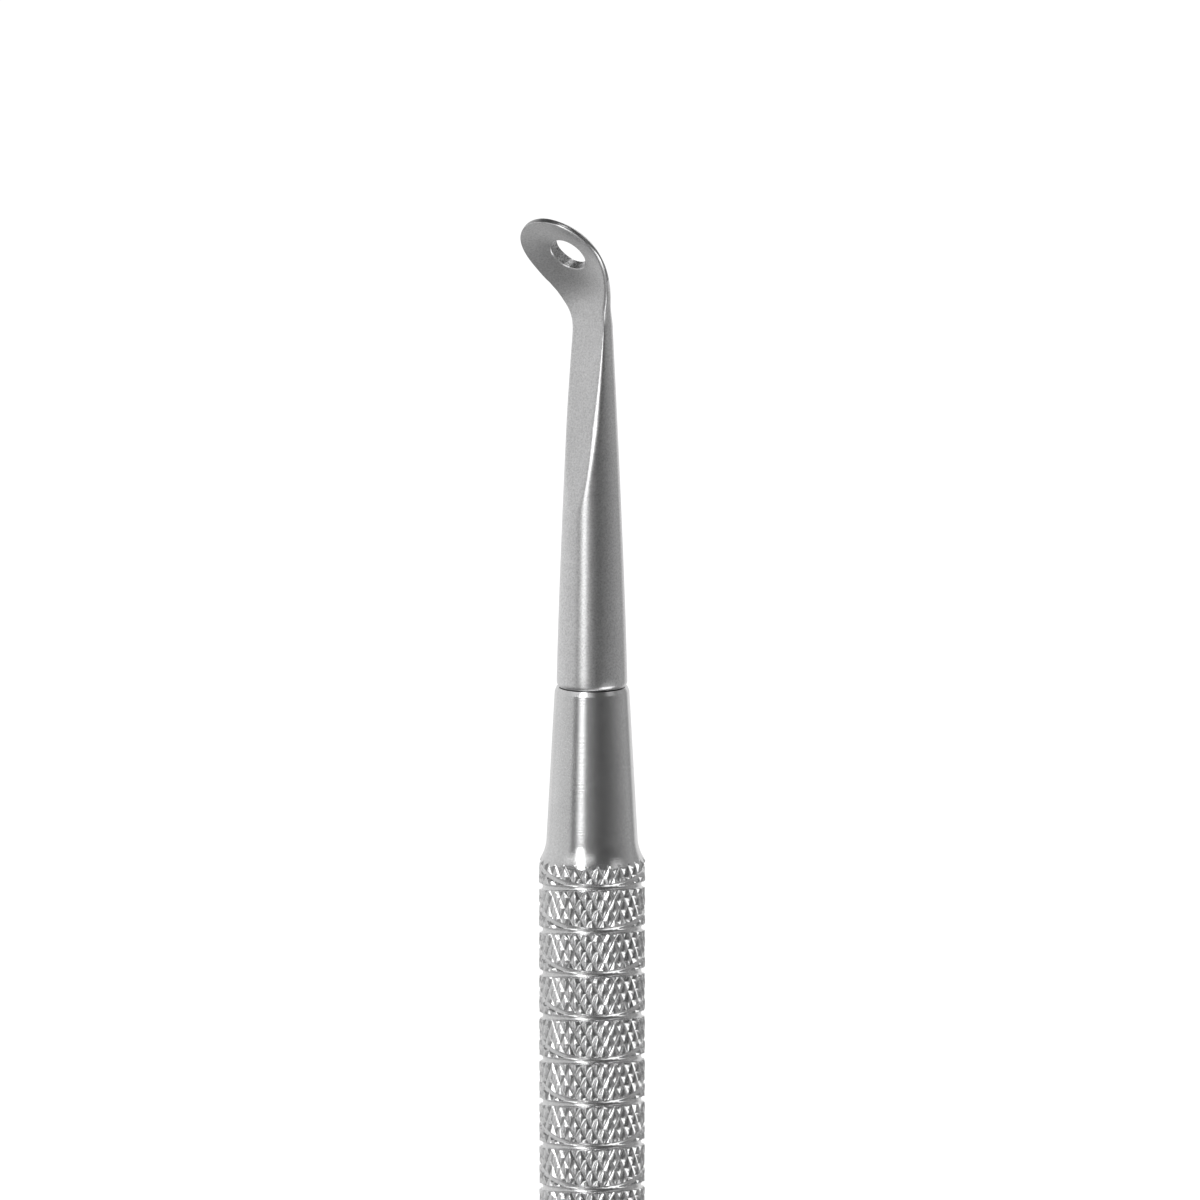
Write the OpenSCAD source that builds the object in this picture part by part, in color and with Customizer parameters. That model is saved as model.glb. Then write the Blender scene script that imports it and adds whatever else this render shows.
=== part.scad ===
// Blackhead extractor: a knurled steel handle with a screw-in tip at each end.
// The upper tip is a bent, dished spoon with a hole; the lower tip is a lancet.
// Millimetres. The tool's axis is Z, and the origin is the middle of the grip.

/* [Grip] */
// Outside diameter of the knurled grip
grip_d = 7; // [6.5:0.1:9]
// Number of deep ring grooves along the grip
ring_count = 21; // [5:1:30]
// Distance from one deep groove to the next
ring_pitch = 2.9; // [2.4:0.05:4]
// Distance from the grip's end to the first deep groove
ring_margin = 1.65; // [1.2:0.05:3]
// Depth of the deep grooves
deep_depth = 0.26; // [0.1:0.02:0.5]
// Width of the deep grooves at the grip's surface
deep_w = 0.46; // [0.3:0.02:1]
// Tilt of the deep grooves, high at the front
deep_tilt = 8; // [0:0.5:12]
// Depth of the shallow grooves between them
shallow_depth = 0.17; // [0.05:0.01:0.3]
// Width of the shallow grooves at the grip's surface
shallow_w = 0.5; // [0.2:0.02:0.8]
// Tilt of the shallow grooves, low at the front
shallow_tilt = 15.5; // [0:0.5:20]
// How far the tilt of the grooves is turned to the right of the front
groove_turn = 8; // [-90:1:90]

/* [Cones] */
// Length of each smooth cone between the grip and its tip
cone_length = 11.65; // [6:0.05:20]
// Diameter of the cone's end, where the tip seats
cone_end_d = 4.9; // [4:0.05:5.8]
// Diameter of the cone where it starts to flare out to the grip
cone_root_d = 5.98; // [5:0.02:6.4]
// Radius of the concave flare between cone and grip
flare_r = 3; // [1:0.1:5]
// Height of the chamfers on both sides of the seam
seam_chamfer = 0.3; // [0.1:0.05:0.5]

/* [Sockets and shanks] */
// Diameter of a tip's threaded shank, over the thread
shank_d = 2.9; // [2:0.02:3.5]
// Length of the shank
shank_length = 8; // [4:0.5:12]
// Gap between shank and socket, measured on the radius
shank_gap = 0.05; // [0.02:0.01:0.1]
// Free depth of a socket beyond the shank's end
socket_spare = 0.6; // [0.2:0.1:2]
// Gap at the seam between a tip and its cone
seam_gap = 0.04; // [0.02:0.01:0.2]

/* [Stem] */
// How much slimmer a tip is than its cone at the seam, on the radius
seam_step = 0.13; // [0:0.01:0.3]
// Diameter of the spoon's stem at the neck
stem_neck_d = 2.74; // [2:0.02:3.6]
// Height of the neck, where the bend begins, above the seam
neck_at = 23.4; // [16:0.02:34]
// Bulge of the taper, where 1 is a straight cone
taper_power = 1.25; // [1:0.05:2]
// Height above the seam where the ground flat begins
flat_from = 11.6; // [6:0.1:14]
// Distance of the flat from the stem's middle line at the neck
flat_neck_h = 0.38; // [0.2:0.02:0.8]

/* [Spoon] */
// Angle between the stem and the spoon
bend_angle = 39.5; // [15:0.5:50]
// Radius of the bend, at the stem's middle line
bend_r = 5.5; // [4:0.25:10]
// Direction that the spoon leans to, to the left of the front
lean_turn = 38.5; // [-90:0.5:90]
// Width of the flattened neck
neck_w = 2.74; // [2:0.02:4]
// Length over which the round stem is forged flat
forge_length = 2.4; // [1:0.1:6]
// Diameter of the spoon
spoon_d = 6.1; // [5:0.02:9]
// Straight length from the bend to the middle of the spoon
spoon_reach = 2.55; // [2:0.05:6]
// Fullness of the spoon's shoulders, where a higher value is slimmer
shoulder_power = 1.1; // [0.9:0.05:2]
// Depth of the dish in the spoon's front
dish_depth = 0.65; // [0.2:0.05:1]
// Thickness of the spoon at its rim
rim_t = 0.4; // [0.3:0.02:0.6]
// Thickness of the neck where it is fully forged
neck_t = 0.84; // [0.5:0.02:1]
// Thickness of the spoon round its hole
web_t = 0.85; // [0.45:0.05:1]
// Diameter of the extraction hole
hole_d = 2.55; // [1:0.05:3.2]
// Distance of the hole from the spoon's middle, towards the stem
hole_back = 0.4; // [0:0.05:0.6]

/* [Lancet] */
// Length of the lancet outside the handle
lancet_length = 26; // [18:0.5:34]
// Diameter of the slim end, where the blade begins
lancet_end_d = 1.5; // [1.1:0.05:2]
// Length of the flattened blade
blade_length = 6; // [4:0.25:9]
// Thickness of the blade at its point
blade_t = 0.35; // [0.2:0.05:0.6]
// Length of the two ground cutting edges
point_length = 2.2; // [1:0.1:4]

/* [Hidden] */
steel = [0.72, 0.73, 0.74];
bright_steel = [0.8, 0.81, 0.82];
round_fn = 96;
// A small length that carries a cutter past a face
past = 0.5;

grip_r = grip_d / 2;
grip_length = 2 * ring_margin + (ring_count - 1) * ring_pitch;
seam_z = grip_length / 2 + cone_length;
shank_r = shank_d / 2;
socket_r = shank_r + shank_gap;
socket_depth = shank_length + socket_spare;
cone_end_r = cone_end_d / 2;
cone_root_r = cone_root_d / 2;
stem_base_r = cone_end_r - seam_step;
stem_neck_r = stem_neck_d / 2;
// The chamfers slope in by less than half their height
chamfer_in = 0.4 * seam_chamfer;

// The spoon's middle line runs up the stem, round the bend and on to the rim
bend_length = bend_r * bend_angle * PI / 180;
spoon_mid = neck_at + bend_length + spoon_reach;
spoon_r = spoon_d / 2;
shoulder_length = spoon_mid - neck_at;
// The loft starts inside the turned part of the stem and is thinner by a hair, so that they join cleanly
loft_from = flat_from - 0.8;
loft_inset = 0.02;
front_steps = 12;
back_steps = 26;
// Boxiness of the back of the flattened spoon, where 2 is an ellipse
back_power = 6;
// Roundness of the corner between the ground flat and the neck
flat_ease = 0.15;
// Share of the flat's depth that is ground straight; the rest deepens towards the neck
straight_share = 0.44;

function mix(a, b, t) = a + (b - a) * t;
function clamp01(t) = min(1, max(0, t));
function smooth(t) = let (c = clamp01(t)) c * c * (3 - 2 * c);
function smooth_max(a, b, soft) = (a + b + sqrt((a - b) * (a - b) + soft * soft)) / 2;

// Radius of the turned stem at height s along the middle line
function stem_r(s) = mix(stem_base_r, stem_neck_r, pow(clamp01(s / neck_at), taper_power));

// Distance of the spoon's front from the middle line
function front_h(s) =
    let (
        t = (s - flat_from) / (neck_at - flat_from),
        start = stem_r(flat_from),
        cut = (start - flat_neck_h) * (straight_share * t + (1 - straight_share) * pow(t, 3))
    )
    smooth_max(start - cut, flat_neck_h, flat_ease);

// Half width of the flattened neck and spoon
function spoon_half_w(s) =
    let (b = s - spoon_mid, t = clamp01(1 + b / shoulder_length))
    b < 0
        ? mix(neck_w / 2, spoon_r, pow((1 - cos(180 * t)) / 2, shoulder_power))
        : sqrt(spoon_r * spoon_r - b * b);

// Share of the dish's depth at s, spherical towards the rim and running out at the neck
function dish_run(s) =
    let (b = s - spoon_mid)
    b < 0 ? (1 + cos(180 * clamp01(-b / shoulder_length))) / 2 : 1 - b * b / (spoon_r * spoon_r);

// Thickness of the edge at s, from the neck's to the rim's
function edge_t(s) = mix(neck_t, rim_t, smooth((s - neck_at) / shoulder_length));

// How far the round stem is forged flat at s
function forged(s) = smooth((s - neck_at) / forge_length);

// One cross-section as [across, forward] points: along the front, then back round the rear
function stem_section(s) =
    let (r = stem_r(s) - loft_inset, h = min(front_h(s), 0.995 * r), half = acos(h / r), c = r * sin(half))
    [
        for (i = [0:front_steps]) [mix(-c, c, i / front_steps), h],
        for (j = [1:back_steps - 1])
            let (a = mix(half, 360 - half, j / back_steps)) [r * sin(a), r * cos(a)]
    ];
function plate_section(s) =
    let (w = spoon_half_w(s), h = front_h(s), run = dish_run(s), edge = edge_t(s))
    [
        for (i = [0:front_steps])
            let (u = mix(-1, 1, i / front_steps)) [w * u, h - dish_depth * run * (1 - u * u)],
        for (j = [1:back_steps - 1])
            let (
                a = 180 * j / back_steps,
                u = sign(cos(a)) * pow(abs(cos(a)), 2 / back_power),
                hollow = (dish_depth + web_t - edge) * run * (1 - u * u)
            )
            [w * u, h - edge * pow(sin(a), 2 / back_power) - hollow]
    ];
function section(s) =
    let (a = stem_section(s), b = plate_section(s), t = forged(s))
    [for (i = [0:len(a) - 1]) mix(a[i], b[i], t)];

// The middle line: [forward, up, angle from vertical] at s
function line_at(s) =
    let (
        turned = clamp01((s - neck_at) / bend_length) * bend_angle,
        over = max(0, s - neck_at - bend_length)
    )
    [
        bend_r * (1 - cos(turned)) + over * sin(bend_angle),
        min(s, neck_at) + bend_r * sin(turned) + over * cos(bend_angle),
        turned
    ];
function placed(s, p) =
    let (m = line_at(s))
    [m[0] + p[1] * cos(m[2]), p[0], m[1] - p[1] * sin(m[2])];

// Where the sections stand: even along the stem, closer in the bend and round the rim
loft_stations = [
    for (i = [0:13]) mix(loft_from, neck_at - 1, i / 14),
    for (i = [0:29]) mix(neck_at - 1, spoon_mid, i / 30),
    for (a = [0:6:84]) spoon_mid + spoon_r * sin(a),
    spoon_mid + spoon_r * sin(87)
];

function middle(ring) = [for (axis = [0:2]) sum([for (p = ring) p[axis]]) / len(ring)];
function sum(list, i = 0) = i < len(list) ? list[i] + sum(list, i + 1) : 0;

// A closed solid through rings of equally many points, with a fan over each end
module loft(rings) {
    n = len(rings[0]);
    last = len(rings) - 1;
    start = (last + 1) * n;
    polyhedron(
        points = [for (ring = rings) each ring, middle(rings[0]), middle(rings[last])],
        faces = [
            for (i = [0:n - 1]) [start, i, (i + 1) % n],
            for (k = [0:last - 1])
                for (i = [0:n - 1])
                    let (a = k * n + i, b = k * n + (i + 1) % n)
                    each [[a, a + n, b], [b, a + n, b + n]],
            for (i = [0:n - 1]) [start + 1, last * n + (i + 1) % n, last * n + i]
        ]
    );
}

// A ring groove's cutter, round in section, tilted about the left-right line
module ring_cutter(depth, width, tilt) {
    cutter_r = (width * width / 4 + depth * depth) / (2 * depth);
    rotate([0, 0, groove_turn])
        rotate([tilt, 0, 0])
            rotate_extrude($fn = round_fn)
                translate([grip_r - depth + cutter_r, 0])
                    circle(r = cutter_r, $fn = 32);
}

// A turned tip, from its threaded shank up: the side holds the points above the seam's chamfer
module turned_tip(side) {
    rotate_extrude($fn = round_fn)
        polygon([
            [0, -shank_length],
            [shank_r - chamfer_in, -shank_length],
            [shank_r, -shank_length + seam_chamfer],
            [shank_r, seam_gap],
            [stem_base_r - chamfer_in, seam_gap],
            each side,
            [0, side[len(side) - 1][1]]
        ]);
}

module handle_blank() {
    flare_in = grip_r - cone_root_r;
    flare_h = sqrt(2 * flare_r * flare_in - flare_in * flare_in);
    flare_turn = asin(flare_h / flare_r);
    half = [
        for (i = [0:8])
            let (a = flare_turn * (1 - i / 8))
            [cone_root_r + flare_r * (1 - cos(a)), grip_length / 2 + flare_h - flare_r * sin(a)],
        [cone_end_r, seam_z - seam_chamfer],
        [cone_end_r - chamfer_in, seam_z],
        [0, seam_z]
    ];
    rotate_extrude($fn = round_fn)
        polygon([for (p = half) p, for (i = [len(half) - 1:-1:0]) [half[i][0], -half[i][1]]]);
}

module handle() {
    color(steel)
    difference() {
        handle_blank();
        for (i = [0:ring_count - 1])
            translate([0, 0, grip_length / 2 - ring_margin - i * ring_pitch])
                ring_cutter(deep_depth, deep_w, -deep_tilt);
        for (i = [0:ring_count])
            translate([0, 0, grip_length / 2 - ring_margin + ring_pitch / 2 - i * ring_pitch])
                ring_cutter(shallow_depth, shallow_w, shallow_tilt);
        for (side = [-1, 1])
            translate([0, 0, side * (seam_z - socket_depth / 2 + past / 2)])
                cylinder(r = socket_r, h = socket_depth + past, center = true, $fn = 64);
    }
}

module spoon_tip() {
    hole_at = line_at(spoon_mid - hole_back);
    color(bright_steel)
    translate([0, 0, seam_z])
        rotate([0, 0, 270 - lean_turn])
            difference() {
                union() {
                    turned_tip([
                        for (i = [0:8]) let (s = mix(seam_chamfer, flat_from, i / 8)) [stem_r(s), s]
                    ]);
                    loft([for (s = loft_stations) [for (p = section(s)) placed(s, p)]]);
                }
                translate([hole_at[0], 0, hole_at[1]])
                    rotate([0, 90 + bend_angle, 0])
                        cylinder(d = hole_d, h = spoon_d, center = true, $fn = 64);
            }
}

module lancet_tip() {
    end_r = lancet_end_d / 2;
    blade_from = lancet_length - blade_length;
    face_tilt = atan((end_r - blade_t / 2) / blade_length);
    edge_tilt = atan(end_r / point_length);
    color(bright_steel)
    translate([0, 0, -seam_z])
        mirror([0, 0, 1])
            difference() {
                turned_tip([
                    [stem_base_r, seam_chamfer],
                    [end_r, blade_from],
                    [end_r, lancet_length]
                ]);
                for (side = [0, 180])
                    rotate([0, 0, side]) {
                        translate([0, end_r, blade_from])
                            rotate([face_tilt, 0, 0])
                                translate([-lancet_end_d, 0, 0])
                                    cube([2 * lancet_end_d, lancet_end_d, 2 * blade_length]);
                        translate([end_r, 0, lancet_length - point_length])
                            rotate([0, -edge_tilt, 0])
                                translate([0, -lancet_end_d, 0])
                                    cube([lancet_end_d, 2 * lancet_end_d, 2 * point_length]);
                    }
            }
}

handle();
spoon_tip();
lancet_tip();
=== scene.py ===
"""Looks of the blackhead extractor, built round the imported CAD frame.

Metres, +Z up, the same frame as the CAD. The three steel pieces stand for their CAD nodes with finer
meshes: a real knurl, soft edges and threads. Sizes are in millimetres up to new_object.
"""

import math

import bpy
import numpy as np
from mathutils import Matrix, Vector


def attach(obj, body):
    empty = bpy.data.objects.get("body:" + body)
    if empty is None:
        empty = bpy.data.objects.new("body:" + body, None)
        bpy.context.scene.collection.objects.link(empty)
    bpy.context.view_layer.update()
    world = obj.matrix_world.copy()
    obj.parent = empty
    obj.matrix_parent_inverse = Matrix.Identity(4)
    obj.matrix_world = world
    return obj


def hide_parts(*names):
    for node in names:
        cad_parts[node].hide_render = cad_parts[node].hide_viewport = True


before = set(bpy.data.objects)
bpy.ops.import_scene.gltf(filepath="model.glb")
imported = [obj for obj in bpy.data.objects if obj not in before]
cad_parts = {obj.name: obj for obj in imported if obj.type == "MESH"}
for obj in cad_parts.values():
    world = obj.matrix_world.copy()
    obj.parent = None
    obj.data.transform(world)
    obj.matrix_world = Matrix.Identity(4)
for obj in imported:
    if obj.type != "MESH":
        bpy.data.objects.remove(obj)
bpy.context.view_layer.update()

MM = 0.001
TAU = 2 * math.pi

# The handle, as in the CAD source
GRIP_R = 3.5
RINGS = 21
RING_PITCH = 2.9
RING_MARGIN = 1.65
DEEP = dict(depth=0.26, width=0.46, tilt=-8.0)
SHALLOW = dict(depth=0.17, width=0.5, tilt=15.5)
GROOVE_TURN = 8.0
CONE_LENGTH = 11.65
CONE_END_R = 2.45
CONE_ROOT_R = 2.99
FLARE_R = 3.0
CHAMFER = 0.3
CHAMFER_IN = 0.12
SOCKET_R = 1.5
SOCKET_DEPTH = 8.6
GRIP_HALF = RING_MARGIN + (RINGS - 1) * RING_PITCH / 2
SEAM_Z = GRIP_HALF + CONE_LENGTH

# The shank and the seam of both tips, as in the CAD source
SHANK_R = 1.45
SHANK_LENGTH = 8.0
SEAM_GAP = 0.04
SEAM_STEP = 0.13
STEM_BASE_R = CONE_END_R - SEAM_STEP

# The spoon tip, as in the CAD source
STEM_NECK_R = 1.37
NECK_AT = 23.4
TAPER_POWER = 1.25
FLAT_FROM = 11.6
FLAT_NECK_H = 0.38
BEND_ANGLE = 39.5
BEND_R = 5.5
LEAN_TURN = 38.5
NECK_W = 2.74
FORGE_LENGTH = 2.4
SPOON_R = 3.05
SPOON_REACH = 2.55
SHOULDER_POWER = 1.1
DISH_DEPTH = 0.65
RIM_T = 0.4
NECK_T = 0.84
WEB_T = 0.85
HOLE_R = 1.275
HOLE_BACK = 0.4
BEND_LENGTH = BEND_R * math.radians(BEND_ANGLE)
SPOON_MID = NECK_AT + BEND_LENGTH + SPOON_REACH
SHOULDER = SPOON_MID - NECK_AT

# The lancet tip, as in the CAD source
LANCET_LENGTH = 26.0
LANCET_END_R = 0.75
BLADE_LENGTH = 6.0
BLADE_T = 0.35
POINT_LENGTH = 2.2
LANCET_PULL = 10.0

# From here on the sizes are the visual model's own. The knurl has 28 raised diamonds round the grip
KNURL_COUNT = 28
KNURL_PITCH = 1.4
# Each ring of a diamond: how far down it lies and its share of the diamond, from the groove inwards
KNURL_RINGS = ((0.17, 1.0), (0.022, 0.45), (0.0, 0.2))

# The thread: a helix with a flat crest and root. It fades out below the seam, and it grows from a part
# of its height at the shank's end
THREAD_PITCH = 0.5
THREAD_DEPTH = 0.3
THREAD_STEPS = 8
TOOTH_FLANKS = 0.8
TOOTH_FLAT = 0.1
THREAD_TOP = -0.75
THREAD_FADE = 0.6
THREAD_GROWTH = 0.5
THREAD_END_SHARE = 0.1
RELIEF = 0.02

# The chamfer at a tip's seam: it is eased at both edges, and just inside the stem until it meets it
SEAM_EASE = 0.03
CHAMFER_EASE = 0.04
CHAMFER_INSET = 0.015
STEM_FROM = CHAMFER + 0.05

# How softly the flat runs out of the stem, and how square the back edge of the spoon is
FLAT_EASE = 0.1
BACK_POWER = 12
# The spoon's front edge is dressed round on its right side and left keener on the other
EDGE_ROUND = 0.24
EDGE_KEEN = 0.03
EDGE_SWING = 1.15
HOLE_BEVEL = 0.04
# The flat's right edge is dressed off: how far it turns from the flat, and at which places along the
# stem it is cut how deep
CREASE_TURN = 24
CREASE_AT = (12.5, 14.5, 17.5, 20, 22, 23.5, 25)
CREASE_CUT = (0, 0.035, 0.1, 0.08, 0.05, 0.02, 0)
# How much the corners are softened, at which places along the stem
SOFT_AT = (20, 23.5, 27.5)
SOFTNESS = (0.13, 0.06, 0.025)
SOFT_SHARE = 0.12

# How finely the meshes are cut
HANDLE_SIDES = 192
BORE_SIDES = 96
RING_SIDES = (128, 14)
HOLE_SIDES = 128
TIP_SIDES = 192
OUTLINE_POINTS = 900
FINE_POINTS = 720
ROUND_RINGS = 12
FLAT_RINGS = 70
BEND_RINGS = 110
ARC_RINGS = 56
# The spoon's upper half is a half circle: the angles of its first and last ring and of the rings that
# close the rim, in degrees from the middle
FIRST_ARC = 1.5
LAST_ARC = 84
CLOSING_ARCS = (86, 87.5, 88.5)


def clamp01(t):
    return np.clip(t, 0.0, 1.0)


def smooth(t):
    t = clamp01(t)
    return t * t * (3 - 2 * t)


def mix(a, b, t):
    return a + (b - a) * t


def new_object(name, verts, faces, body):
    """A smooth mesh object from points in millimetres. It rides on the body, if one is named."""
    mesh = bpy.data.meshes.new(name)
    points = [tuple(MM * c for c in v) for v in verts]
    mesh.from_pydata(points, [], [tuple(int(i) for i in f) for f in faces])
    mesh.validate()
    mesh.polygons.foreach_set("use_smooth", [True] * len(mesh.polygons))
    mesh.update()
    ob = bpy.data.objects.new(name, mesh)
    bpy.context.scene.collection.objects.link(ob)
    if body:
        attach(ob, body)
    return ob


def tube(rings):
    """Points and faces of a closed tube through rings, an array of (ring, point, xyz)."""
    count, n = rings.shape[:2]
    verts = rings.reshape(-1, 3).tolist()
    k, i = np.meshgrid(np.arange(count - 1), np.arange(n), indexing="ij")
    a, b = (k * n + i).ravel(), (k * n + (i + 1) % n).ravel()
    faces = np.stack([a, b, b + n, a + n], 1).tolist()
    verts += [rings[0].mean(0).tolist(), rings[-1].mean(0).tolist()]
    first_cap, last_cap = count * n, count * n + 1
    last = (count - 1) * n
    faces += [[first_cap, (i + 1) % n, i] for i in range(n)]
    faces += [[last_cap, last + i, last + (i + 1) % n] for i in range(n)]
    return verts, faces


def boolean(ob, cutter, operation="DIFFERENCE"):
    """Cuts ob with cutter, keeps the result and drops the cutter."""
    modifier = ob.modifiers.new("cut", "BOOLEAN")
    modifier.object = cutter
    modifier.operation = operation
    modifier.solver = "MANIFOLD"
    depsgraph = bpy.context.evaluated_depsgraph_get()
    mesh = bpy.data.meshes.new_from_object(ob.evaluated_get(depsgraph))
    ob.modifiers.clear()
    ob.data = mesh
    bpy.data.objects.remove(cutter)


def crisp(ob, angle=33):
    """Smooth shading, with a sharp line where two faces meet at more than the angle in degrees."""
    ob.data.polygons.foreach_set("use_smooth", [True] * len(ob.data.polygons))
    ob.data.set_sharp_from_angle(angle=math.radians(angle))


def revolve(profile, steps):
    """Rings of a turned profile, a list of (radius, z)."""
    a = np.arange(steps) * TAU / steps
    r, z = np.array(profile, float).T[:, :, None]
    return np.stack([r * np.cos(a), r * np.sin(a), np.repeat(z, steps, 1)], 2)


# The handle: a knurled bar, turned to its outline, then grooved and bored


def knurled_bar(length):
    """A bar covered with truncated pyramids on a slanting lattice."""
    rise = KNURL_PITCH / 2
    rows = int(math.ceil(length / rise)) + 2
    z0 = -rows * rise / 2
    step = TAU / KNURL_COUNT
    valley = GRIP_R - KNURL_RINGS[0][0]
    verts, faces = [], []

    def point(r, a, z):
        verts.append((r * math.cos(a), r * math.sin(a), z))
        return len(verts) - 1

    corner = [
        [point(valley, (i + 0.5 * (k % 2)) * step, z0 + k * rise) for i in range(KNURL_COUNT)]
        for k in range(rows + 1)
    ]
    # A diamond stands between corner k and corner k + 2, with its sides at row k + 1
    for k in range(rows - 1):
        for i in range(KNURL_COUNT):
            side = i if k % 2 else i - 1
            left = corner[k + 1][side % KNURL_COUNT]
            right = corner[k + 1][(side + 1) % KNURL_COUNT]
            a, z = (i + 0.5 * (k % 2)) * step, z0 + (k + 1) * rise
            outer = [corner[k][i], right, corner[k + 2][i], left]
            for down, share in KNURL_RINGS[1:]:
                r, da, dz = GRIP_R - down, share * step / 2, share * rise
                inner = [
                    point(r, a, z - dz),
                    point(r, a + da, z),
                    point(r, a, z + dz),
                    point(r, a - da, z),
                ]
                for j in range(4):
                    faces.append([outer[j], outer[(j + 1) % 4], inner[(j + 1) % 4], inner[j]])
                outer = inner
            faces.append(outer)
    # The half diamonds left over at the two ends are filled flat, and a fan closes each end
    for k, up in ((0, False), (rows, True)):
        row, inner = corner[k], corner[k + (-1 if up else 1)]
        centre = point(0, 0, z0 + k * rise)
        for i in range(KNURL_COUNT):
            j = (i + 1) % KNURL_COUNT
            between = inner[i if k % 2 == 0 else j]
            tri, fan = [row[i], row[j], between], [row[i], centre, row[j]]
            faces.append(tri[::-1] if up else tri)
            faces.append(fan[::-1] if up else fan)
    return verts, faces


def handle_profile():
    """The turned outline of the handle from end to end, as (radius, z)."""
    arc_steps, cone_steps = 24, 12
    flare_in = GRIP_R - CONE_ROOT_R
    flare_h = math.sqrt(2 * FLARE_R * flare_in - flare_in**2)
    turn = math.asin(flare_h / FLARE_R)
    half = []
    for i in range(arc_steps + 1):
        a = turn * (1 - i / arc_steps)
        z = GRIP_HALF + flare_h - FLARE_R * math.sin(a)
        half.append((CONE_ROOT_R + FLARE_R * (1 - math.cos(a)), z))
    root, top = half[-1][1], SEAM_Z - CHAMFER
    for t in [i / cone_steps for i in range(1, cone_steps)] + [0.995]:
        half.append((mix(CONE_ROOT_R, CONE_END_R, t), mix(root, top, t)))
    for t in (0.0, 0.15, 0.85, 1.0):
        half.append((CONE_END_R - CHAMFER_IN * t, mix(top, SEAM_Z, t)))
    end_land = 0.2
    half.append((SOCKET_R + end_land, SEAM_Z))
    # The grip's middle length is left oversize: there the knurled bar is the outside
    oversize = 0.05
    half[0] = (GRIP_R + oversize, half[0][1] - oversize)
    return [(r, -z) for r, z in reversed(half)] + half


def groove_rings(z_list, depth, width, tilt, name):
    """The cutter of a set of ring grooves: tilted tori, round in section."""
    section_r = (width * width / 4 + depth * depth) / (2 * depth)
    major = GRIP_R - depth + section_r
    n, m = RING_SIDES
    verts, faces = [], []
    t, turn = math.radians(tilt), math.radians(GROOVE_TURN)
    a, b = np.meshgrid(np.arange(n) * TAU / n, np.arange(m) * TAU / m, indexing="ij")
    r = major + section_r * np.cos(b)
    x, y, h = r * np.cos(a), r * np.sin(a), section_r * np.sin(b)
    y, h = y * math.cos(t) - h * math.sin(t), y * math.sin(t) + h * math.cos(t)
    x, y = x * math.cos(turn) - y * math.sin(turn), x * math.sin(turn) + y * math.cos(turn)
    for z in z_list:
        base = len(verts)
        verts += np.stack([x, y, h + z], 2).reshape(-1, 3).tolist()
        for i in range(n):
            for j in range(m):
                here, there = base + i * m, base + (i + 1) % n * m
                j1 = (j + 1) % m
                faces.append([here + j, there + j, there + j1, here + j1])
    return new_object(name, verts, faces, None)


def make_handle():
    spare, past_end = 1.0, 0.5
    handle = new_object("handle_knurled", *knurled_bar(2 * (SEAM_Z + spare)), "handle")
    outline = new_object("outline", *tube(revolve(handle_profile(), HANDLE_SIDES)), None)
    boolean(handle, outline, "INTERSECT")
    first = GRIP_HALF - RING_MARGIN
    deep = [first - i * RING_PITCH for i in range(RINGS)]
    shallow = [first + RING_PITCH / 2 - i * RING_PITCH for i in range(RINGS + 1)]
    boolean(handle, groove_rings(deep, name="deep", **DEEP))
    boolean(handle, groove_rings(shallow, name="shallow", **SHALLOW))
    for side in (-1, 1):
        low, high = sorted((side * (SEAM_Z - SOCKET_DEPTH), side * (SEAM_Z + past_end)))
        wall = revolve([(SOCKET_R, low), (SOCKET_R, high)], BORE_SIDES)
        boolean(handle, new_object("bore", *tube(wall), None))
    crisp(handle)
    return handle


# The spoon tip: one sweep along the stem, round the bend and over the spoon. Here s is the length
# along the sweep from the seam, and a ring is an outline of (across, forward) points at one s


def stem_r(s):
    return mix(STEM_BASE_R, STEM_NECK_R, clamp01(s / NECK_AT) ** TAPER_POWER)


def front_h(s):
    """How far forward the ground flat lies. It runs straight from the stem's surface to the neck."""
    t = (s - FLAT_FROM) / (NECK_AT - FLAT_FROM)
    start = stem_r(FLAT_FROM)
    cut = (start - FLAT_NECK_H) * t
    a = start - cut - FLAT_NECK_H
    return FLAT_NECK_H + (a + math.sqrt(a * a + FLAT_EASE**2)) / 2


def half_w(s):
    """Half the plate's width: the neck, the shoulders and the round spoon."""
    b = s - SPOON_MID
    if b >= 0:
        return math.sqrt(max(0.0, SPOON_R**2 - b * b))
    t = clamp01(1 + b / SHOULDER)
    return mix(NECK_W / 2, SPOON_R, ((1 - math.cos(math.pi * t)) / 2) ** SHOULDER_POWER)


def dish_run(s):
    """The share of its full depth that the dish has at s."""
    b = s - SPOON_MID
    if b < 0:
        return (1 + math.cos(math.pi * clamp01(-b / SHOULDER))) / 2
    return 1 - (b / SPOON_R) ** 2


def edge_drop(x, s):
    """How far the front falls away towards its rounded edge, at x across the plate."""
    along = s - SPOON_MID
    ahead = max(0.0, along)
    inside = np.where(along > 0, SPOON_R - np.hypot(x, along), half_w(s) - np.abs(x))
    side = np.arctan2(ahead, x) / math.pi
    r = mix(EDGE_ROUND, EDGE_KEEN, smooth(side * EDGE_SWING))
    reach = np.clip(r - inside, 0, r)
    return r - np.sqrt(r * r - reach * reach)


def plate_front(s, u):
    """The plate's dished front at the shares u of its half width, from -1 to 1."""
    x = half_w(s) * u
    return np.stack([x, front_h(s) - DISH_DEPTH * dish_run(s) * (1 - u * u) - edge_drop(x, s)], 1)


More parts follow.
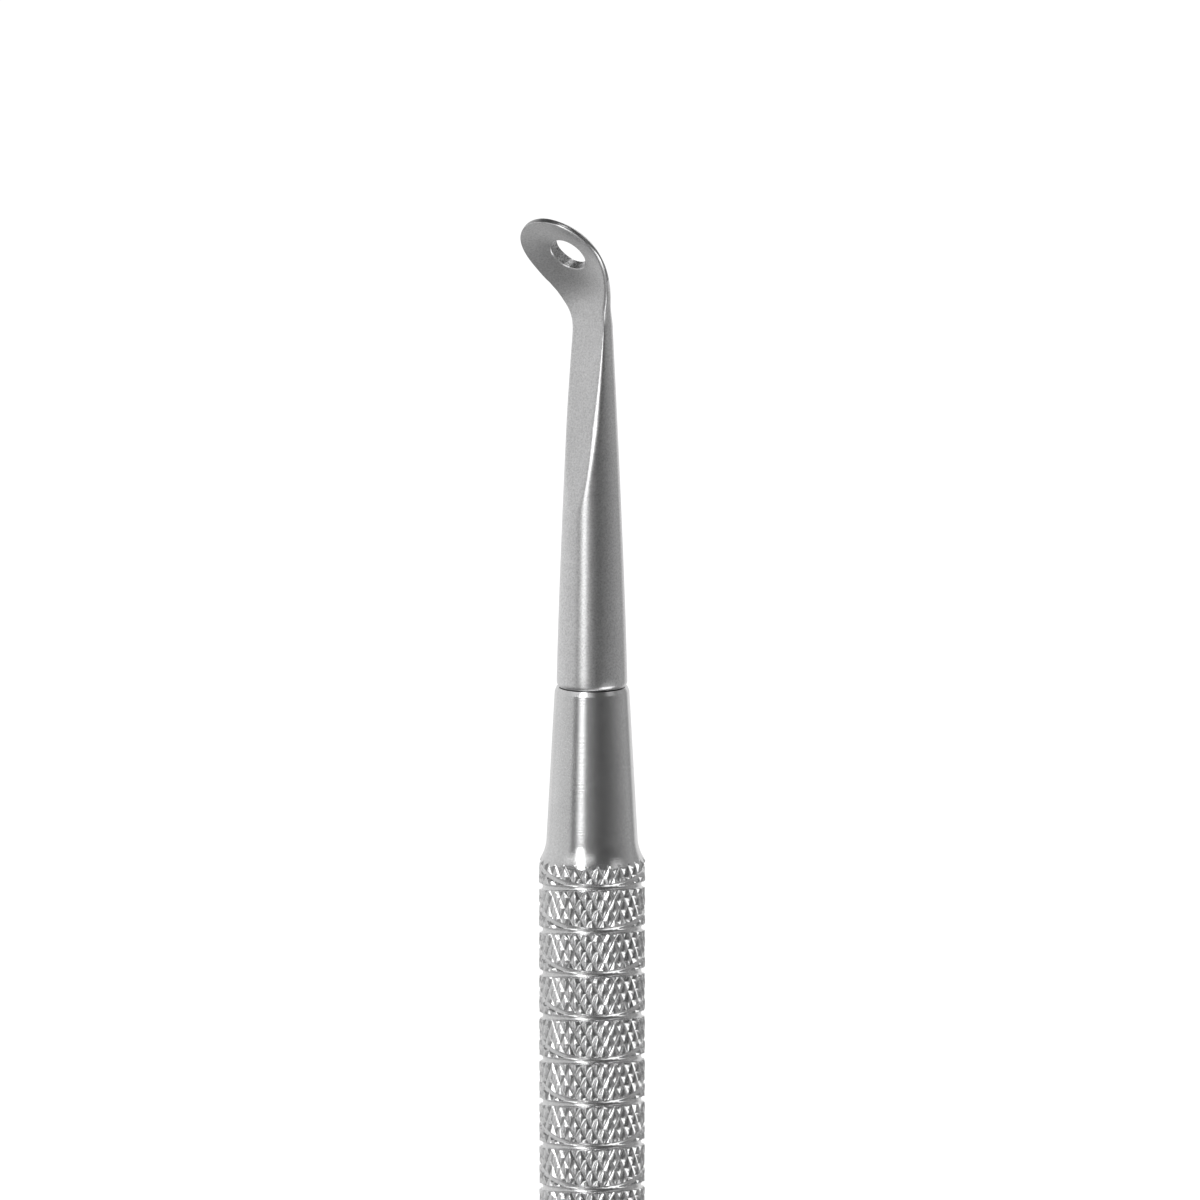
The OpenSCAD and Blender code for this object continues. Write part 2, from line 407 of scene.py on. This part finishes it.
def plate_back(s, a):
    """The plate's hollowed back at the angles a round its edge, from 0 to pi."""
    edge = mix(NECK_T, RIM_T, float(smooth((s - NECK_AT) / SHOULDER)))
    u = np.sign(np.cos(a)) * np.abs(np.cos(a)) ** (2 / BACK_POWER)
    hollow = (DISH_DEPTH + WEB_T - edge) * dish_run(s) * (1 - u * u)
    return np.stack([half_w(s) * u, front_h(s) - edge * np.sin(a) ** (2 / BACK_POWER) - hollow], 1)


def stem_outline(s, n=OUTLINE_POINTS):
    """The cross-section of the ground stem: a circle cut by the flat."""
    r = stem_r(s)
    a = np.linspace(0, TAU, n, endpoint=False)
    p = np.stack([r * np.sin(a), r * np.cos(a)], 1)
    p[:, 1] = np.minimum(p[:, 1], min(front_h(s), r))
    return p


def plate_outline(s, n=OUTLINE_POINTS):
    """The cross-section of the forged plate, with a third of its points on the front."""
    front = plate_front(s, np.linspace(-1, 1, n // 3))
    back = plate_back(s, np.linspace(0, math.pi, 2 * n // 3)[1:-1])
    return np.concatenate([front, back])


def matched_outlines(s, n):
    """The stem's and the plate's outlines with matching corners, a third of the points in front."""
    r, h = stem_r(s), min(front_h(s), stem_r(s))
    half = math.acos(h / r)
    c = r * math.sin(half)
    m = n // 3
    j = np.arange(1, n - m) / (n - m)
    a = half + (TAU - 2 * half) * j
    stem_front = np.stack([np.linspace(-c, c, m), np.full(m, h)], 1)
    stem = np.concatenate([stem_front, np.stack([r * np.sin(a), r * np.cos(a)], 1)])
    plate = np.concatenate([plate_front(s, np.linspace(-1, 1, m)), plate_back(s, math.pi * j)])
    return stem, plate


def even_ring(p, n, start):
    """n points evenly round a closed outline, clockwise from the point nearest start."""
    area = np.sum(p[:, 0] * np.roll(p[:, 1], -1) - np.roll(p[:, 0], -1) * p[:, 1])
    if area > 0:
        p = p[::-1]
    p = np.roll(p, -int(np.argmin(np.hypot(*(p - start).T))), 0)
    q = np.concatenate([p, p[:1]])
    d = np.concatenate([[0], np.cumsum(np.hypot(*np.diff(q, axis=0).T))])
    t = np.arange(n) * d[-1] / n
    return np.stack([np.interp(t, d, q[:, 0]), np.interp(t, d, q[:, 1])], 1)


def soften(p, amount):
    """Rounds the corners of an even ring by a Gaussian of this width along it."""
    n = len(p)
    step = np.hypot(*np.diff(np.concatenate([p, p[:1]]), axis=0).T).mean()
    k = np.fft.fftfreq(n, d=step)
    gain = np.exp(-2 * (math.pi * k * amount) ** 2)
    f = np.fft.fft(p[:, 0] + 1j * p[:, 1])
    q = np.fft.ifft(f * gain)
    return np.stack([q.real, q.imag], 1)


def dress_crease(p, s):
    """Cuts a narrow facet along the right edge of the flat."""
    turn = math.radians(CREASE_TURN)
    facing = np.array([math.sin(turn), math.cos(turn)])
    out = p @ facing
    over = np.maximum(0, out - (out.max() - np.interp(s, CREASE_AT, CREASE_CUT)))
    return p - over[:, None] * facing


def spoon_ring(s, n):
    """The softened cross-section at s, as (across, forward) points."""
    forged = float(smooth((s - NECK_AT) / FORGE_LENGTH))
    on_stem = np.array([0, min(front_h(s), stem_r(s))])
    on_plate = np.array([0, front_h(s) - DISH_DEPTH * dish_run(s)])
    if forged <= 0:
        p = even_ring(stem_outline(s), FINE_POINTS, on_stem)
    elif forged >= 1:
        p = even_ring(plate_outline(s), FINE_POINTS, on_plate)
    else:
        stem, plate = matched_outlines(s, FINE_POINTS)
        p = even_ring(mix(stem, plate, forged), FINE_POINTS, mix(on_stem, on_plate, forged))
    w = np.abs(p[:, 0]).max()
    p = dress_crease(p, s)
    p = even_ring(p, FINE_POINTS, p[0])
    p = soften(p, min(np.interp(s, SOFT_AT, SOFTNESS), SOFT_SHARE * w))
    p[:, 0] *= w / np.abs(p[:, 0]).max()
    # The ring starts in the middle of its front
    behind = p[:, 1] < p[:, 1].mean()
    middle = p[np.argmin(np.abs(p[:, 0]) + 10 * behind), 1]
    return even_ring(p, n, np.array([0, middle]))


def line_at(s):
    """Where the sweep's middle line is at s: how far forward, how far up and turned by how much."""
    bend = math.radians(BEND_ANGLE)
    turned = math.radians(float(clamp01((s - NECK_AT) / BEND_LENGTH)) * BEND_ANGLE)
    over = max(0.0, s - NECK_AT - BEND_LENGTH)
    forward = BEND_R * (1 - math.cos(turned)) + over * math.sin(bend)
    up = min(s, NECK_AT) + BEND_R * math.sin(turned) + over * math.cos(bend)
    return forward, up, turned


def sweep_frame(ring, s):
    """A ring of (across, forward) points at s, in the frame of the CAD."""
    forward, up, turned = line_at(s)
    x = forward + ring[:, 1] * math.cos(turned)
    z = up - ring[:, 1] * math.sin(turned)
    a = math.radians(270 - LEAN_TURN)
    across = ring[:, 0]
    return np.stack(
        [x * math.cos(a) - across * math.sin(a), x * math.sin(a) + across * math.cos(a), SEAM_Z + z],
        1,
    )


def turned_shank(n):
    """Rings of a threaded shank up to the seam, as (radius per point, z)."""
    a = np.arange(n) / n
    root = SHANK_R - THREAD_DEPTH
    rings = []
    for z in np.arange(-SHANK_LENGTH, 0.001, THREAD_PITCH / THREAD_STEPS):
        phase = (z / THREAD_PITCH - a) % 1
        tooth = clamp01((0.5 - np.abs(phase - 0.5)) * 2 / TOOTH_FLANKS - TOOTH_FLAT)
        grown = smooth((z + SHANK_LENGTH) / THREAD_GROWTH + THREAD_END_SHARE)
        cut = smooth((THREAD_TOP - z) / THREAD_FADE) * grown
        rings.append((mix(np.full(n, root + RELIEF), mix(root, SHANK_R, tooth), cut), z))
    rings.append((np.full(n, root + RELIEF), SEAM_GAP - RELIEF))
    return rings


def seam_edge(side_r):
    """The chamfered start of a tip above its shank, as (radius, z), up to its side."""
    return [
        (STEM_BASE_R - CHAMFER_IN - SEAM_EASE, SEAM_GAP),
        (STEM_BASE_R - CHAMFER_IN, SEAM_GAP + SEAM_EASE),
        (side_r - CHAMFER_INSET, CHAMFER - CHAMFER_EASE),
    ]


def make_spoon():
    n = TIP_SIDES
    a = np.arange(n) * TAU / n
    around = np.stack([np.sin(a), np.cos(a)], 1)
    turned = turned_shank(n)
    turned += [(np.full(n, r), z) for r, z in seam_edge(stem_r(CHAMFER))]
    turned.append((np.full(n, stem_r(CHAMFER)), STEM_FROM))
    rings = [sweep_frame(r[:, None] * around, z) for r, z in turned]
    # The rings lie closer from the flat's start on, and closer still from just below the neck
    stations = list(np.linspace(0.8, FLAT_FROM - 0.6, ROUND_RINGS))
    stations += list(np.linspace(FLAT_FROM - 0.4, NECK_AT - 1, FLAT_RINGS))
    stations += list(np.linspace(NECK_AT - 0.9, SPOON_MID, BEND_RINGS))
    for arc in np.linspace(FIRST_ARC, LAST_ARC, ARC_RINGS):
        stations.append(SPOON_MID + SPOON_R * math.sin(math.radians(arc)))
    for s in stations:
        rings.append(sweep_frame(spoon_ring(s, n), s))
    # The rim's last arc closes over a rounded edge
    last_s = stations[-1]
    last = spoon_ring(last_s, n)
    middle = last[:, 1].mean()
    kept_thickness = 0.35
    for arc in CLOSING_ARCS:
        s = SPOON_MID + SPOON_R * math.sin(math.radians(arc))
        shrink = half_w(s) / half_w(last_s)
        q = last.copy()
        q[:, 0] *= shrink
        q[:, 1] = mix(middle, q[:, 1], mix(kept_thickness, 1, shrink))
        rings.append(sweep_frame(q, s))
    return new_object("spoon_tip_ground", *tube(np.array(rings)), "spoon_tip")


def spoon_place(s):
    """A point of the middle line and the direction that the spoon's front faces there."""
    forward, up, turned = line_at(s)
    a = math.radians(270 - LEAN_TURN)
    centre = Vector((forward * math.cos(a), forward * math.sin(a), SEAM_Z + up))
    facing = (math.cos(turned) * math.cos(a), math.cos(turned) * math.sin(a), -math.sin(turned))
    return centre, Vector(facing)


def cut_hole(spoon):
    """Drills the hole square to the spoon's front and bevels its front edge."""
    centre, axis = spoon_place(SPOON_MID - HOLE_BACK)
    turn = axis.to_track_quat("Z", "Y").to_matrix()
    face_at = front_h(SPOON_MID) - DISH_DEPTH * (1 - (HOLE_R / SPOON_R) ** 2)
    inwards, outwards, through = 0.2, 0.6, 4
    drill = [(HOLE_R, -through), (HOLE_R, through)]
    countersink = [
        (HOLE_R - inwards, face_at - HOLE_BEVEL - inwards),
        (HOLE_R + outwards, face_at - HOLE_BEVEL + outwards),
    ]
    for name, profile in (("drill", drill), ("countersink", countersink)):
        verts, faces = tube(revolve(profile, HOLE_SIDES))
        verts = [tuple(centre + turn @ Vector(p)) for p in verts]
        boolean(spoon, new_object(name, verts, faces, None))
    crisp(spoon)


def spoon_walls(spoon):
    """Gives the rim's wall material 1 and the hole's wall material 2, the darker steels that paint shade
    on these walls.
    """
    wall_tilt, rim_reach, slack = 0.3, 2.2, 0.02
    centre, axis = spoon_place(SPOON_MID - HOLE_BACK)
    rim_from, _ = spoon_place(SPOON_MID - rim_reach)
    along = Vector((0, 0, 1)) - axis * axis.z
    for face in spoon.data.polygons:
        at = face.center / MM
        if abs(face.normal.dot(axis)) > wall_tilt or (at - rim_from).dot(along) < 0:
            continue
        off = at - centre
        in_hole = (off - axis * off.dot(axis)).length < HOLE_R + slack
        face.material_index = 2 if in_hole else 1


# The lancet tip: a turned cone that is ground flat to a blade with a point


def make_lancet():
    n = TIP_SIDES
    cone_steps, blade_steps = 30, 60
    cone_inset, least_reach, edge_share = 0.005, 0.01, 0.06
    a = np.arange(n) * TAU / n
    blade_from = LANCET_LENGTH - BLADE_LENGTH
    turned = turned_shank(n) + seam_edge(STEM_BASE_R)
    turned.append((STEM_BASE_R - cone_inset, STEM_FROM))
    for i in range(1, cone_steps + 1):
        t = i / cone_steps
        turned.append((mix(STEM_BASE_R, LANCET_END_R, t), mix(CHAMFER, blade_from, t)))
    rings = [np.stack([r * np.cos(a), r * np.sin(a), np.full(n, z)], 1) for r, z in turned]
    for i in range(1, blade_steps + 1):
        t = i / blade_steps
        z = blade_from + BLADE_LENGTH * t
        to_point = float(clamp01((LANCET_LENGTH - z) / POINT_LENGTH))
        reach = max(LANCET_END_R * to_point, least_reach)
        thick = mix(LANCET_END_R, BLADE_T / 2, t)
        x = np.clip(LANCET_END_R * np.cos(a), -reach, reach)
        y = np.clip(LANCET_END_R * np.sin(a), -thick, thick)
        # The two cutting edges of the point thin out towards their rims
        keen = mix(1 - np.abs(x) / LANCET_END_R, 1.0, to_point)
        y *= mix(edge_share, 1, keen)
        rings.append(np.stack([x, y, np.full(n, z)], 1))
    rings = np.array(rings)
    rings[:, :, 2] = -SEAM_Z - rings[:, :, 2]
    rings[:, :, 1] = -rings[:, :, 1]
    return new_object("lancet_tip_ground", *tube(rings), "lancet_tip")


handle = make_handle()
spoon = make_spoon()
cut_hole(spoon)
lancet = make_lancet()
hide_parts("handle")
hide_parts("spoon_tip")
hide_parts("lancet_tip")


# Materials: five of bare stainless steel; those of the spoon's rim wall and hole wall are darker copies
# of the steel, painted shade

# Sizes of the steel's patterns, as noise scales per metre: fine grain, worn patches and wide clouds
SPECK_SCALE = 8500.0
PATCH_SCALE = 2300.0
CLOUD_SCALE = 420.0
# Turning lines are noise stretched round the axis
LINE_SCALE = (40.0, 40.0, 9000.0)
BUMP_HEIGHT = 0.00002
PATCH_WEAR = 0.015
CLOUD_TONE = 0.03
# Over this height the grip's finish turns into the cone's
GRIP_BLEND = 0.0001

STEEL = (0.79, 0.79, 0.793)
# The rim wall's steel is darkened: painted shade along the spoon's rim band
RIM_SHADE_STEEL = (0.38, 0.38, 0.382)
# The hole wall's steel is darkened: painted shade inside the hole
HOLE_SHADE_STEEL = (0.52, 0.52, 0.523)


class Nodes:
    """Short hand for building a material's node tree."""

    def __init__(self, material):
        material.use_nodes = True
        self.tree = material.node_tree
        self.tree.nodes.clear()

    def add(self, kind, **values):
        node = self.tree.nodes.new(kind)
        for key, value in values.items():
            if isinstance(value, bpy.types.NodeSocket):
                self.tree.links.new(value, node.inputs[key])
            elif key in node.inputs.keys():
                node.inputs[key].default_value = value
            else:
                setattr(node, key, value)
        return node

    def noise(self, vector, scale, **values):
        return self.add("ShaderNodeTexNoise", Vector=vector, Scale=scale, **values).outputs["Fac"]

    def spread(self, source, low, high, start=0.3, end=0.7, **values):
        """The source's values from start to end, spread over low to high."""
        span = {"From Min": start, "From Max": end, "To Min": low, "To Max": high}
        node = self.add("ShaderNodeMapRange", Value=source, **span, **values)
        return node.outputs["Result"]

    def math(self, operation, a, b=0.0):
        node = self.tree.nodes.new("ShaderNodeMath")
        node.operation = operation
        for i, value in enumerate((a, b)):
            if isinstance(value, bpy.types.NodeSocket):
                self.tree.links.new(value, node.inputs[i])
            else:
                node.inputs[i].default_value = value
        return node.outputs[0]


def steel(name, colour, roughness, grain, turning=0.0, knurl=0.0):
    """Bare stainless steel with a fine mottled grain.

    Turning adds lines round the axis outside the grip, and knurl is how much rougher the metal is on it.
    """
    material = bpy.data.materials.new(name)
    n = Nodes(material)
    place = n.add("ShaderNodeTexCoord").outputs["Object"]
    height = n.math("ABSOLUTE", n.add("ShaderNodeSeparateXYZ", Vector=place).outputs["Z"])
    edge = GRIP_HALF * MM
    on_grip = n.spread(height, 0.0, 1.0, edge + GRIP_BLEND, edge)
    speck = n.noise(place, SPECK_SCALE, Detail=3.0, Roughness=0.65)
    patch = n.noise(place, PATCH_SCALE, Detail=2.0)
    cloud = n.noise(place, CLOUD_SCALE, Detail=2.0)

    grain_tone = n.spread(speck, 1 - grain, 1 + grain)
    tone = n.math("MULTIPLY", grain_tone, n.spread(cloud, 1 - CLOUD_TONE, 1 + CLOUD_TONE))
    shade = n.add("ShaderNodeVectorMath", operation="SCALE")
    shade.inputs[0].default_value = colour
    n.tree.links.new(tone, shade.inputs["Scale"])

    worn = n.spread(patch, roughness - PATCH_WEAR, roughness + PATCH_WEAR)
    rough = n.math("ADD", worn, n.math("MULTIPLY", on_grip, knurl))
    bump = n.add("ShaderNodeBump", Height=speck, Distance=BUMP_HEIGHT)
    strength = n.math("ADD", n.math("MULTIPLY", on_grip, 2 * knurl), grain)
    n.tree.links.new(strength, bump.inputs["Strength"])
    normal = bump.outputs["Normal"]
    if turning:
        stretch = n.add("ShaderNodeVectorMath", operation="MULTIPLY")
        n.tree.links.new(place, stretch.inputs[0])
        stretch.inputs[1].default_value = LINE_SCALE
        lines = n.noise(stretch.outputs["Vector"], 1.0, Detail=2.0)
        turned = n.add("ShaderNodeBump", Height=lines, Distance=BUMP_HEIGHT, Normal=normal)
        off_grip = n.math("SUBTRACT", 1.0, on_grip)
        n.tree.links.new(n.math("MULTIPLY", off_grip, turning), turned.inputs["Strength"])
        normal = turned.outputs["Normal"]

    bsdf = n.add("ShaderNodeBsdfPrincipled", Roughness=rough, Normal=normal, Metallic=1.0)
    n.tree.links.new(shade.outputs["Vector"], bsdf.inputs["Base Color"])
    n.add("ShaderNodeOutputMaterial", Surface=bsdf.outputs["BSDF"])
    return material


def wear(ob, *materials):
    """Gives the object these materials, with the first one everywhere."""
    ob.data.materials.clear()
    for material in materials:
        ob.data.materials.append(material)
    ob.data.polygons.foreach_set("material_index", [0] * len(ob.data.polygons))


wear(handle, steel("turned_steel", STEEL, 0.2, 0.1, turning=0.3, knurl=0.04))
wear(
    spoon,
    steel("spoon_steel_satin", STEEL, 0.29, 0.2),
    # The rim wall's darker steel is painted shade
    steel("spoon_rim_painted_shade", RIM_SHADE_STEEL, 0.3, 0.2),
    # The hole wall: a rough drilled finish, with its colour darkened as painted shade
    steel("spoon_hole_drilled_painted_shade", HOLE_SHADE_STEEL, 0.36, 0.8),
)
spoon_walls(spoon)
wear(lancet, steel("lancet_steel_satin", STEEL, 0.26, 0.2, turning=0.2))


# The floor, low enough for the lancet tip to be drawn out above it

FLOOR_GAP = 0.5
FLOOR_Z = -(SEAM_Z + LANCET_LENGTH + LANCET_PULL + FLOOR_GAP) * MM
FLOOR_HALF = 12.0
FLOOR_PAINT = (0.93, 0.93, 0.93, 1)


def make_floor():
    mesh = bpy.data.meshes.new("floor")
    corners = [(-1, -1), (1, -1), (1, 1), (-1, 1)]
    points = [(FLOOR_HALF * x, FLOOR_HALF * y, FLOOR_Z) for x, y in corners]
    mesh.from_pydata(points, [], [(0, 1, 2, 3)])
    floor = bpy.data.objects.new("floor", mesh)
    bpy.context.scene.collection.objects.link(floor)
    floor.visible_glossy = False
    paint = bpy.data.materials.new("pale_floor")
    n = Nodes(paint)
    matt = {"Base Color": FLOOR_PAINT, "Roughness": 0.9, "Specular IOR Level": 0.0}
    surface = n.add("ShaderNodeBsdfPrincipled", **matt).outputs["BSDF"]
    n.add("ShaderNodeOutputMaterial", Surface=surface)
    mesh.materials.append(paint)


make_floor()

# The studio round the tool, by compass direction from the viewer and height above the level, all in
# degrees. Each light is (direction, half width, lowest, highest, soft edge, brightness) and lies over
# the ones before it
ROOM = 0.115
EVERY = (-90, 90)
LIGHTS = [
    (-24, 24, *EVERY, 26, 0.33),
    (112, 30, *EVERY, 50, 0.5),
    (-117, 62, *EVERY, 5, 0.7),
    (-120, 10, *EVERY, 60, 1.0),
    (180, 43, *EVERY, 6, 0.96),
    (-29.5, 7, *EVERY, 6.5, 1.08),
]
# Lamps above and below the level, over the floor and the ceiling
LAMPS = [
    (180, 50, -90, -36, 12, 0.5),
    (58, 24, -72, -22, 8, 2.0),
    (-34, 36, 16, 34, 11, 1.0),
    (-29, 6, 0, 62, 8, 6.0),
    (-29, 11, -50, -12, 8, 1.1),
    (66, 14, 26, 48, 10, 0.8),
    (8, 40, 72, 82, 4, 5.0),
]
# The ceiling, and the floor round the tool and right below it: each is (brightness, where it starts,
# where it is full), as the upward part of the direction
CEILING = (0.16, 0.5, 0.72)
FLOOR_FAR = (0.24, -0.3, -0.85)
FLOOR_NEAR = (0.42, -0.9, -1.0)
BACKDROP = 1.45


def studio(world):
    """A soft studio all round. Reflections see its boxes and gaps; the floor sees even light."""
    n = Nodes(world)
    direction = n.add("ShaderNodeTexCoord").outputs["Generated"]
    apart = n.add("ShaderNodeSeparateXYZ", Vector=direction)
    x, y, z = (apart.outputs[k] for k in "XYZ")
    compass = n.math("ARCTAN2", x, n.math("MULTIPLY", y, -1.0))
    degrees = n.math("MULTIPLY", compass, 180 / math.pi)
    height = n.math("MULTIPLY", n.math("ARCSINE", z), 180 / math.pi)

    def ramp(source, start, end):
        return n.spread(source, 0.0, 1.0, start, end, interpolation_type="SMOOTHSTEP")

    def over(below, level, share):
        """The level laid over what is below it by a share."""
        kept = n.math("MULTIPLY", below, n.math("SUBTRACT", 1.0, share))
        return n.math("ADD", kept, n.math("MULTIPLY", level, share))

    def lit(value, lights):
        for centre, half, low, high, soft, level in lights:
            off = n.math("PINGPONG", n.math("SUBTRACT", degrees, centre), 180.0)
            share = ramp(off, half + soft, half - soft)
            if (low, high) != EVERY:
                share = n.math("MULTIPLY", share, ramp(height, low - soft, low + soft))
                share = n.math("MULTIPLY", share, ramp(height, high + soft, high - soft))
            value = over(value, level, share)
        return value

    value = lit(ROOM, LIGHTS)
    for level, start, full in (FLOOR_FAR, FLOOR_NEAR, CEILING):
        value = over(value, level, ramp(z, start, full))
    value = lit(value, LAMPS)
    glossy = n.add("ShaderNodeLightPath").outputs["Is Glossy Ray"]
    value = over(BACKDROP, value, glossy)
    background = n.add("ShaderNodeBackground", Strength=value)
    n.add("ShaderNodeOutputWorld", Surface=background.outputs["Background"])


world = bpy.data.worlds.new("studio")
bpy.context.scene.world = world
studio(world)
world.cycles.sampling_method = "NONE"
bpy.context.scene.view_settings.view_transform = "Standard"

# The photo's camera: 458 mm away, 9.6 degrees above the level, its frame's middle 8 pixels right of
# the tool's axis
ELEVATION = math.radians(9.6)
DISTANCE = 0.4578
AIM = Vector((0.000523, 0.0, 0.04803))
SENSOR = 36
FOCAL_LENGTH = 210
camera_data = bpy.data.cameras.new("camera")
camera_data.sensor_width = SENSOR
camera_data.lens = FOCAL_LENGTH
camera_data.clip_start = 0.01
camera_data.clip_end = 50
camera = bpy.data.objects.new("camera", camera_data)
bpy.context.scene.collection.objects.link(camera)
back = Vector((0, -math.cos(ELEVATION), math.sin(ELEVATION)))
camera.location = AIM + DISTANCE * back
camera.rotation_euler = (math.radians(90) - ELEVATION, 0, 0)
bpy.context.scene.camera = camera
